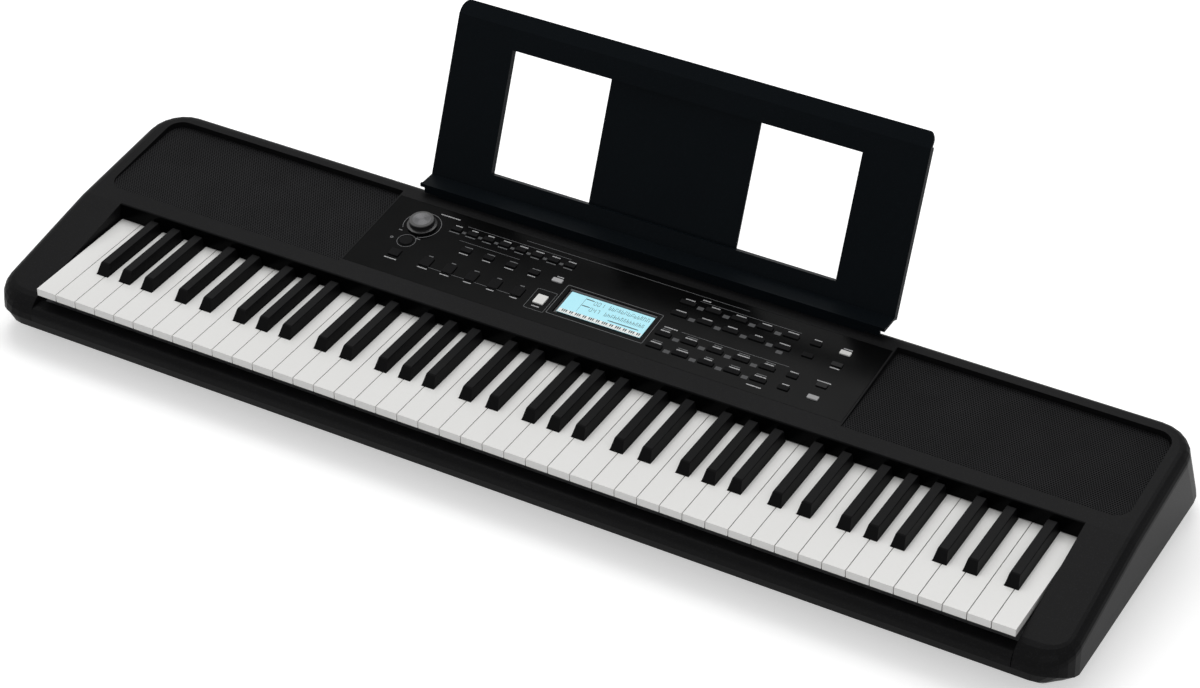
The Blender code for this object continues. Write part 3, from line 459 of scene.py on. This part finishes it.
def newRectangle(width, depth):
    deselectAll()
    bpy.ops.mesh.primitive_plane_add(size=1.0, location=(0.0, 0.0, 0.0))
    rectangle = bpy.context.active_object
    bpy.ops.object.mode_set(mode="EDIT")
    bpy.ops.transform.resize(value=(width, depth, 1.0))
    return rectangle


def newPlate(width, depth, thickness, corner=0.0):
    plate = newRectangle(width, depth)
    if corner > 0.0:
        bpy.ops.mesh.bevel(offset=corner, segments=3, affect="VERTICES")
    return thickened(plate, thickness)


def newOutline(width, depth, line, thickness, corner):
    outline = newRectangle(width, depth)
    bpy.ops.mesh.bevel(offset=corner, segments=5, affect="VERTICES")
    bpy.ops.mesh.select_all(action="SELECT")
    bpy.ops.mesh.inset(thickness=line, depth=0.0)
    bpy.ops.mesh.delete(type="FACE")
    return thickened(outline, thickness)


def newRing(inner, outer, thickness, gapMiddle=0.0, gapWidth=0.0):
    # a flat ring, open over gapWidth degrees about gapMiddle
    deselectAll()
    bpy.ops.mesh.primitive_circle_add(
        vertices=96, radius=inner, fill_type="NOTHING", location=(0.0, 0.0, 0.0)
    )
    ring = bpy.context.active_object
    bpy.ops.object.mode_set(mode="EDIT")
    bpy.ops.mesh.select_all(action="SELECT")
    bpy.ops.mesh.extrude_region_move()
    bpy.ops.transform.resize(value=(outer / inner, outer / inner, 1.0))
    bpy.ops.mesh.select_all(action="DESELECT")
    bpy.ops.object.mode_set(mode="OBJECT")
    if gapWidth > 0.0:
        for face in ring.data.polygons:
            angle = math.degrees(math.atan2(face.center.y, face.center.x))
            fromGap = (angle - gapMiddle + 180.0) % 360.0 - 180.0
            face.select = abs(fromGap) < gapWidth / 2.0
        bpy.ops.object.mode_set(mode="EDIT")
        bpy.ops.mesh.delete(type="FACE")
    else:
        bpy.ops.object.mode_set(mode="EDIT")
    return thickened(ring, thickness)


def placed(piece, u, v, width=1.0, depth=1.0):
    piece.matrix_world = Matrix.Translation((u, v, 0.0)) @ Matrix.Diagonal((width, depth, 1.0, 1.0))
    return piece


def copyOf(piece, u, v, width=1.0, depth=1.0):
    copy = piece.copy()
    copy.data = piece.data.copy()
    bpy.context.scene.collection.objects.link(copy)
    return placed(copy, u, v, width, depth)


def printOn(pieces, name, finish, height=0.0):
    # joins the pieces, carries them to the deck's plane and makes them part of the case
    deselectAll()
    for piece in pieces:
        piece.select_set(True)
    bpy.context.view_layer.objects.active = pieces[0]
    if len(pieces) > 1:
        bpy.ops.object.join()
    whole = bpy.context.active_object
    bpy.ops.object.transform_apply(location=True, rotation=True, scale=True)
    whole.name = name
    whole.data.name = name
    whole.matrix_world = deckPlace @ Matrix.Translation((0.0, 0.0, height))
    bpy.ops.object.transform_apply(location=True, rotation=True, scale=True)
    whole.data.materials.clear()
    whole.data.materials.append(finish)
    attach(whole, "case")


inkLook = {
    "thickness": 0.05 * mm,
    "shine": 0.3,
    "roughness": 0.5,
    "patchScale": 900.0,
    "relief": 0.1,
    "reliefDepth": 0.03 * mm,
    "label": (0.62, 0.62, 0.63),
    "line": (0.17, 0.175, 0.18),
    # this grey also colours the painted shade strip at the display's rear edge
    "tab": (0.045, 0.046, 0.049),
    "scale": (0.16, 0.16, 0.165),
    "ring": (0.13, 0.13, 0.135),
}
ink = inkLook["thickness"]


def inkFinish(name, colour, evenness):
    fixed = {"Specular IOR Level": inkLook["shine"], "Roughness": inkLook["roughness"]}
    finish, shader, field, place = newFinish(name, fixed)
    patch = noise(field, place, inkLook["patchScale"], 3.0)
    thin = tuple(channel * evenness for channel in colour)
    field.feed(shader.inputs["Base Color"], mixed(field, patch, thin, colour))
    bumped(field, shader, patch, inkLook["relief"], inkLook["reliefDepth"])
    return finish


labelFinish = inkFinish("printedLabel", inkLook["label"], 0.55)
lineFinish = inkFinish("printedLine", inkLook["line"], 0.6)
# one finish for the printed tabs and for the painted shade strip on the display
tabAndShadeFinish = inkFinish("printedTabAndShade", inkLook["tab"], 0.8)

# columns and rows of the buttons in millimetres, as in the part's source
numberColumns = [67.4 + 28.05 * i for i in range(5)]
numberRows = (113.3, 94.8, 62.2, 43.3)
categoryColumns = [-196.1 + 18.75 * i for i in range(8)]
styleColumns = [-197.0 + 26.35 * i for i in range(5)]
functionColumns = [-170.1 + 26.1 * i for i in range(4)]

# printed marks by the buttons: rows of short blocks of uneven width
wordLook = {
    "seed": 76,
    "corner": 0.22,
    "narrow": 0.55,
    "wide": 1.25,
    "gap": 0.28 * mm,
    "slack": 0.4 * mm,
    "rises": (0.8, 1.0, 1.0),
    "height": 1.45 * mm,
    "smallHeight": 1.1 * mm,
    "categoryHeight": 1.3 * mm,
    "functionHeight": 1.2 * mm,
    "styleHeight": 1.4 * mm,
    "aboveNumber": 5.0,
    "overNumber": 7.6,
    "smallShare": 0.9,
    "doubleRows": (62.2, 43.3),
    "numberLengths": (8.0, 12.5),
    "aboveCategory": 118.4,
    "underCategory": 107.9,
    "aboveCategoryLengths": (6.5, 9.0),
    "underCategoryLengths": (9.0, 12.0),
    "aboveFunction": 93.4,
    "underFunction": 82.6,
    "aboveFunctionLength": 9.0 * mm,
    "functionLengths": (8.0, 12.0),
    "aboveStyle": 65.4,
    "underStyle": 46.3,
    "aboveStyleLength": 5.0 * mm,
    "styleLengths": (8.0, 11.0),
    "single": (
        (-212.0, 127.5, 22.0),
        (-233.4, 45.6, 14.0),
        (-64.5, 93.4, 7.0),
        (-65.2, 44.4, 9.0),
        (83.0, 124.0, 9.0),
        (206.2, 118.8, 8.0),
        (237.4, 119.2, 9.0),
        (206.2, 67.6, 9.0),
        (237.4, 67.6, 15.0),
        (237.4, 89.5, 10.0),
        (70.0, 72.8, 14.0),
        (179.5, 33.5, 15.0),
        (206.2, 48.6, 7.0),
    ),
}
chance = random.Random(wordLook["seed"])
block = newPlate(1.0, 1.0, ink, wordLook["corner"])


def printedWord(u, v, length, height=wordLook["height"]):
    made = []
    at = u - length / 2.0
    while at < u + length / 2.0 - wordLook["slack"]:
        width = chance.uniform(wordLook["narrow"], wordLook["wide"]) * mm
        rise = height * chance.choice(wordLook["rises"])
        made.append(copyOf(block, at + width / 2.0, v, width, rise))
        at += width + wordLook["gap"]
    return made


def drawnLength(key):
    return chance.uniform(*wordLook[key]) * mm


brightWords = []
faintWords = []
for u in numberColumns:
    for v in numberRows:
        length = drawnLength("numberLengths")
        brightWords += printedWord(u * mm, (v + wordLook["aboveNumber"]) * mm, length)
        if v in wordLook["doubleRows"]:
            over = (v + wordLook["overNumber"]) * mm
            faintWords += printedWord(u * mm, over, length * wordLook["smallShare"], wordLook["smallHeight"])
for u in categoryColumns:
    brightWords += printedWord(u * mm, wordLook["aboveCategory"] * mm, drawnLength("aboveCategoryLengths"))
    length = drawnLength("underCategoryLengths")
    faintWords += printedWord(u * mm, wordLook["underCategory"] * mm, length, wordLook["categoryHeight"])
for u in functionColumns:
    height = wordLook["functionHeight"]
    faintWords += printedWord(u * mm, wordLook["aboveFunction"] * mm, wordLook["aboveFunctionLength"], height)
    brightWords += printedWord(u * mm, wordLook["underFunction"] * mm, drawnLength("functionLengths"), height)
for u in styleColumns:
    height = wordLook["styleHeight"]
    faintWords += printedWord(u * mm, wordLook["aboveStyle"] * mm, wordLook["aboveStyleLength"], height)
    brightWords += printedWord(u * mm, wordLook["underStyle"] * mm, drawnLength("styleLengths"), height)
for u, v, length in wordLook["single"]:
    brightWords += printedWord(u * mm, v * mm, length * mm)
printOn(brightWords, "panel_labels", labelFinish)
printOn(faintWords, "panel_small_labels", lineFinish)

# grey tabs between the number buttons, and smaller ones between the category buttons
tabLook = {
    "size": (6.7 * mm, 4.5 * mm),
    "corner": 0.5 * mm,
    "rightOfNumber": 14.6,
    "rows": (111.3, 92.7, 60.0, 41.2),
    "single": (179.5 * mm, 87.4 * mm),
    "rightOfCategory": 9.4,
    "categoryRow": 111.6 * mm,
    "categoryShare": (0.62, 0.72),
}
tab = newPlate(*tabLook["size"], ink, tabLook["corner"])
tabs = []
for u in numberColumns[:-1]:
    for v in tabLook["rows"]:
        tabs.append(copyOf(tab, (u + tabLook["rightOfNumber"]) * mm, v * mm))
tabs.append(copyOf(tab, *tabLook["single"]))
for u in categoryColumns[:-1]:
    right = (u + tabLook["rightOfCategory"]) * mm
    tabs.append(copyOf(tab, right, tabLook["categoryRow"], *tabLook["categoryShare"]))
bpy.data.objects.remove(tab)
printOn(tabs, "panel_tabs", tabAndShadeFinish)

# scale round the volume knob: an open ring with a mark at each end
scaleLook = {
    "middle": (-231.5 * mm, 104.0 * mm),
    "inner": 19.3 * mm,
    "outer": 19.9 * mm,
    "gapMiddle": -110.0,
    "gapWidth": 70.0,
    "mark": (4.2 * mm, 1.1 * mm),
    "markCorner": 0.3 * mm,
    "low": (-247.5 * mm, 88.5 * mm),
    "high": (-224.0 * mm, 83.2 * mm),
    "highShare": 1.3,
}
ring = newRing(scaleLook["inner"], scaleLook["outer"], ink, scaleLook["gapMiddle"], scaleLook["gapWidth"])
mark = newPlate(*scaleLook["mark"], ink, scaleLook["markCorner"])
highMark = copyOf(mark, *scaleLook["high"], scaleLook["highShare"])
scale = [placed(ring, *scaleLook["middle"]), placed(mark, *scaleLook["low"]), highMark]
printOn(scale, "volume_scale", inkFinish("printedScale", inkLook["scale"], 0.7))

# ring round the power button, with a dot at its left
powerLook = {
    "middle": (-233.2 * mm, 76.0 * mm),
    "inner": 9.3 * mm,
    "outer": 9.8 * mm,
    "dotPlace": (-249.7 * mm, 74.9 * mm),
    "dotInner": 0.7 * mm,
    "dotOuter": 1.7 * mm,
}
powerRing = placed(newRing(powerLook["inner"], powerLook["outer"], ink), *powerLook["middle"])
powerDot = placed(newRing(powerLook["dotInner"], powerLook["dotOuter"], ink), *powerLook["dotPlace"])
printOn([powerRing, powerDot], "power_ring", inkFinish("printedRing", inkLook["ring"], 0.7))

# thin frames round the white button and the display, and the lines that group the buttons
ruleLook = {
    "line": 0.35 * mm,
    "startFrame": (22.0 * mm, 31.0 * mm),
    "startCorner": 1.2 * mm,
    "startPlace": (-65.2 * mm, 54.5 * mm),
    "displayFrame": (107.0 * mm, 46.0 * mm),
    "displayLine": 0.5 * mm,
    "displayCorner": 1.5 * mm,
    "displayPlace": (1.6 * mm, 64.0 * mm),
    "lines": (
        (132.0, 121.2, 110.0),
        (140.0, 72.6, 116.0),
        (-144.0, 49.6, 108.0),
        (-128.0, 121.8, 120.0),
        (-150.0, 99.6, 70.0),
        (2.0, 128.5, 250.0),
    ),
}
startFrame = newOutline(*ruleLook["startFrame"], ruleLook["line"], ink, ruleLook["startCorner"])
displayFrame = newOutline(*ruleLook["displayFrame"], ruleLook["displayLine"], ink, ruleLook["displayCorner"])
rules = [placed(startFrame, *ruleLook["startPlace"]), placed(displayFrame, *ruleLook["displayPlace"])]
rule = newPlate(1.0, ruleLook["line"], ink)
for u, v, length in ruleLook["lines"]:
    rules.append(copyOf(rule, u * mm, v * mm, length * mm))
bpy.data.objects.remove(rule)
printOn(rules, "panel_rules", lineFinish)
print("panel print made")

# lit display: pale blue ground, a grey strip of painted shade above it and a white row for the small keys
displayLook = {
    "groundColour": (0.37, 0.71, 0.80),
    "groundGlow": 0.35,
    "segmentColour": (0.035, 0.075, 0.090),
    "whiteColour": (0.80, 0.82, 0.80),
    "whiteGlow": 0.15,
    "shine": 0.3,
    "roughness": 0.22,
    "dotScale": 1600.0,
    "dullShare": 0.90,
    "relief": 0.03,
    "reliefDepth": 0.03 * mm,
    "layer": 0.04 * mm,
    "ground": (92.7 * mm, 32.1 * mm),
    "groundCorner": 0.4 * mm,
    "groundPlace": (3.05 * mm, 63.5 * mm),
    "shade": (96.0 * mm, 2.6 * mm),
    "shadeCorner": 0.3 * mm,
    "shadePlace": (1.9 * mm, 81.6 * mm),
    "keyRow": (91.6 * mm, 5.6 * mm),
    "keyRowCorner": 0.2 * mm,
    "keyRowPlace": (3.05 * mm, 50.6 * mm),
}
layer = displayLook["layer"]


def litFinish(name, colour, glow):
    fixed = {
        "Specular IOR Level": displayLook["shine"],
        "Roughness": displayLook["roughness"],
        "Emission Strength": glow,
    }
    finish, shader, field, place = newFinish(name, fixed)
    dots = noise(field, place, displayLook["dotScale"])
    dull = tuple(channel * displayLook["dullShare"] for channel in colour)
    tone = mixed(field, dots, dull, colour)
    field.feed(shader.inputs["Base Color"], tone)
    field.feed(shader.inputs["Emission Color"], tone)
    bumped(field, shader, dots, displayLook["relief"], displayLook["reliefDepth"])
    return finish


groundFinish = litFinish("displayGround", displayLook["groundColour"], displayLook["groundGlow"])
segmentFinish = litFinish("displaySegment", displayLook["segmentColour"], 0.0)
whiteFinish = litFinish("displayWhite", displayLook["whiteColour"], displayLook["whiteGlow"])
ground = newPlate(*displayLook["ground"], layer, displayLook["groundCorner"])
# painted shade: a grey strip along the rear edge of the lit ground
shade = newPlate(*displayLook["shade"], layer, displayLook["shadeCorner"])
keyRow = newPlate(*displayLook["keyRow"], layer, displayLook["keyRowCorner"])
printOn([placed(ground, *displayLook["groundPlace"])], "display_ground", groundFinish)
printOn([placed(shade, *displayLook["shadePlace"])], "display_shade", tabAndShadeFinish)
printOn([placed(keyRow, *displayLook["keyRowPlace"])], "display_keys", whiteFinish, layer)

# dark segments, in millimetres: the small keyboard, two lines of figures and blocks, and their rules
segmentLook = {
    "left": 3.05 - 45.8,
    "step": 91.6 / 43.0,
    "blackPattern": (1, 1, 0, 1, 1, 1, 0),
    "patternStart": 2,
    "blackKeys": 42,
    "blackKey": (1.35, 3.4),
    "blackRow": 51.6,
    "gaps": 44,
    "gap": (0.22, 2.0),
    "gapRow": 48.9,
    "lines": (("001", 73.4), ("047", 63.4)),
    "figureLeft": -13.5,
    "figureStep": 4.0,
    "figure": (2.4, 5.4),
    "stroke": 0.45,
    "uprightShare": 0.42,
    "levelShare": 0.8,
    "blocksFrom": 2.0,
    "blocksTo": 44.0,
    "blockWidths": (1.9, 2.9),
    "blockRises": (5.4, 4.0, 5.4, 6.0),
    "barLevels": (-2.4, 0.0, 2.2),
    "strokeInset": 0.3,
    "shortShare": 0.6,
    "shortDrop": 0.9,
    "blockGap": 1.1,
    "headMark": (-20.5, 2.3, 9.0, 1.2),
    "upright": (-25.5, 66.0, 0.3, 22.0),
    "underline": (26.0, 56.6, 34.0, 1.3),
}
figureBars = {"0": "abcdef", "1": "bc", "4": "fgbc", "7": "abc"}
barPlaces = {
    "a": (0.0, 1.0, False),
    "b": (0.5, 0.5, True),
    "c": (0.5, -0.5, True),
    "d": (0.0, -1.0, False),
    "e": (-0.5, -0.5, True),
    "f": (-0.5, 0.5, True),
    "g": (0.0, 0.0, False),
}
marks = []


def addMark(u, v, width, depth):
    marks.append(copyOf(block, u * mm, v * mm, width * mm, depth * mm))


def addFigure(figure, u, v):
    # a figure from up to seven bars
    width, height = segmentLook["figure"]
    stroke = segmentLook["stroke"]
    for bar in figureBars[figure]:
        x, y, upright = barPlaces[bar]
        level = (width * segmentLook["levelShare"], stroke)
        standing = (stroke, height * segmentLook["uprightShare"])
        addMark(u + x * width, v + y * height / 2.0, *(standing if upright else level))


def addBlocks(v):
    # blocks of three strokes each
    stroke = segmentLook["stroke"]
    height = segmentLook["figure"][1]
    at = segmentLook["blocksFrom"]
    while at < segmentLook["blocksTo"]:
        width = chance.uniform(*segmentLook["blockWidths"])
        rise = chance.choice(segmentLook["blockRises"])
        addMark(at + segmentLook["strokeInset"], v - (height - rise) / 2.0, stroke, rise)
        addMark(at + width / 2.0, v + chance.choice(segmentLook["barLevels"]), width, stroke)
        shortPlace = at + width - segmentLook["strokeInset"]
        addMark(shortPlace, v - segmentLook["shortDrop"], stroke, rise * segmentLook["shortShare"])
        at += width + segmentLook["blockGap"]


for i in range(segmentLook["blackKeys"]):
    if segmentLook["blackPattern"][(i + segmentLook["patternStart"]) % len(segmentLook["blackPattern"])]:
        u = segmentLook["left"] + (i + 1) * segmentLook["step"]
        addMark(u, segmentLook["blackRow"], *segmentLook["blackKey"])
for i in range(segmentLook["gaps"]):
    u = segmentLook["left"] + i * segmentLook["step"]
    addMark(u, segmentLook["gapRow"], *segmentLook["gap"])
for figures, v in segmentLook["lines"]:
    for i, figure in enumerate(figures):
        addFigure(figure, segmentLook["figureLeft"] + segmentLook["figureStep"] * i, v)
    addBlocks(v)
    u, rise, width, depth = segmentLook["headMark"]
    addMark(u, v + rise, width, depth)
addMark(*segmentLook["upright"])
addMark(*segmentLook["underline"])
printOn(marks, "display_segments", segmentFinish, layer * 2.0)
bpy.data.objects.remove(block)
print("display made")


# one for the camera, mirrors and glass, and zero for the light that falls on things
def seenShare(field):
    rays = ("Is Camera Ray", "Is Glossy Ray", "Is Transmission Ray")
    seen, mirrored, through = (field.node("ShaderNodeLightPath", output=ray) for ray in rays)
    return field.maths("MINIMUM", seen + mirrored + through, 1.0)


# plain pale floor that shows white to the camera and keeps the shadow
floorLook = {
    "size": 30.0,
    "level": -0.2 * mm,
    "colour": (0.86, 0.86, 0.86),
    "roughness": 0.9,
    "shine": 0.1,
    "lift": 0.45,
}
deselectAll()
bpy.ops.mesh.primitive_plane_add(size=floorLook["size"], location=(0.0, 0.0, floorLook["level"]))
floor = bpy.context.active_object
floor.name = "floor"
fixed = {
    "Roughness": floorLook["roughness"],
    "Specular IOR Level": floorLook["shine"],
    "Base Color": opaque(floorLook["colour"]),
    "Emission Color": (1.0, 1.0, 1.0, 1.0),
}
floorFinish, shader, field = newFinish("paleFloor", fixed)[:3]
field.feed(shader.inputs["Emission Strength"], seenShare(field) * floorLook["lift"])
floor.data.materials.append(floorFinish)

worldLook = {"seen": 1.0, "light": 0.42}
world = bpy.data.worlds.new("plainWorld")
world.use_nodes = True
bpy.context.scene.world = world
field = Field(world.node_tree)
background = world.node_tree.nodes["Background"]
background.inputs["Color"].default_value = (1.0, 1.0, 1.0, 1.0)
strength = worldLook["light"] + seenShare(field) * (worldLook["seen"] - worldLook["light"])
field.feed(background.inputs["Strength"], strength)

# soft studio light: a wide lamp overhead behind and a fill at the front
lamps = {
    "overhead": {"place": (-0.5, 0.9, 2.1), "aim": (0.0, 0.0, 0.0), "size": (2.4, 1.4), "power": 30.0},
    "front": {"place": (1.4, -2.4, 1.6), "aim": (0.0, 0.0, 0.1), "size": (1.8, 1.2), "power": 11.0},
}
for name, lamp in lamps.items():
    lampData = bpy.data.lights.new(name, "AREA")
    lampData.shape = "RECTANGLE"
    lampData.size, lampData.size_y = lamp["size"]
    lampData.energy = lamp["power"]
    light = bpy.data.objects.new(name, lampData)
    bpy.context.scene.collection.objects.link(light)
    light.location = lamp["place"]
    toAim = Vector(lamp["aim"]) - Vector(lamp["place"])
    light.rotation_euler = toAim.to_track_quat("-Z", "Y").to_euler()
bpy.context.scene.view_settings.view_transform = "Standard"
print("stage and light made")
